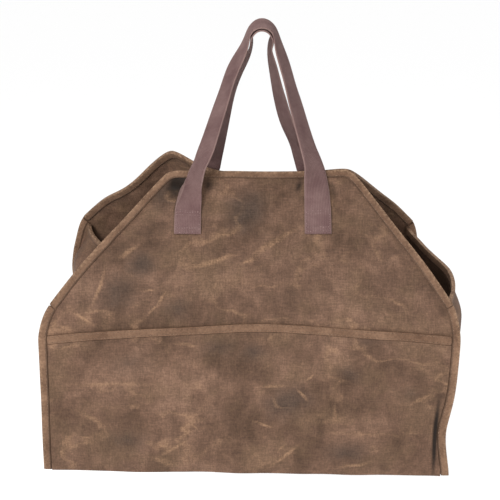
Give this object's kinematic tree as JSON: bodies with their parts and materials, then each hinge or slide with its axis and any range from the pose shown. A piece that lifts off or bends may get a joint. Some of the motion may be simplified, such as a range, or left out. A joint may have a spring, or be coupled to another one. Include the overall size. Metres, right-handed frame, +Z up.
{
  "type": "canvas log carrier",
  "caption": "Open-topped waxed canvas bag for carrying firewood, with sloped shoulders, end gussets, bound edges and webbing handles, shown hanging from its handles.",
  "frame": {"origin": "underside of the top of the two handles, where a hook or a hand carries the bag", "axes": "+Z up, +X to the right as seen from the front, the front of the bag faces -Y"},
  "size_m": [0.6228, 0.3504, 0.6314],
  "materials": {
    "waxed_canvas": "waxed cotton canvas, mottled brown, matt with a faint sheen",
    "binding_tape": "folded canvas binding, stitched",
    "webbing": "ribbed cotton webbing, matt"
  },
  "bodies": {
    "root": {"cloth_strip": "waxed_canvas", "outer_layer": "waxed_canvas", "left_gusset": "waxed_canvas", "right_gusset": "waxed_canvas", "front_band": "binding_tape", "rear_band": "binding_tape", "front_rim_tape": "binding_tape", "rear_rim_tape": "binding_tape", "left_gusset_tape": "binding_tape", "right_gusset_tape": "binding_tape", "left_seam_tape": "binding_tape", "right_seam_tape": "binding_tape", "front_handle": "webbing", "rear_handle": "webbing"}
  },
  "joints": []
}
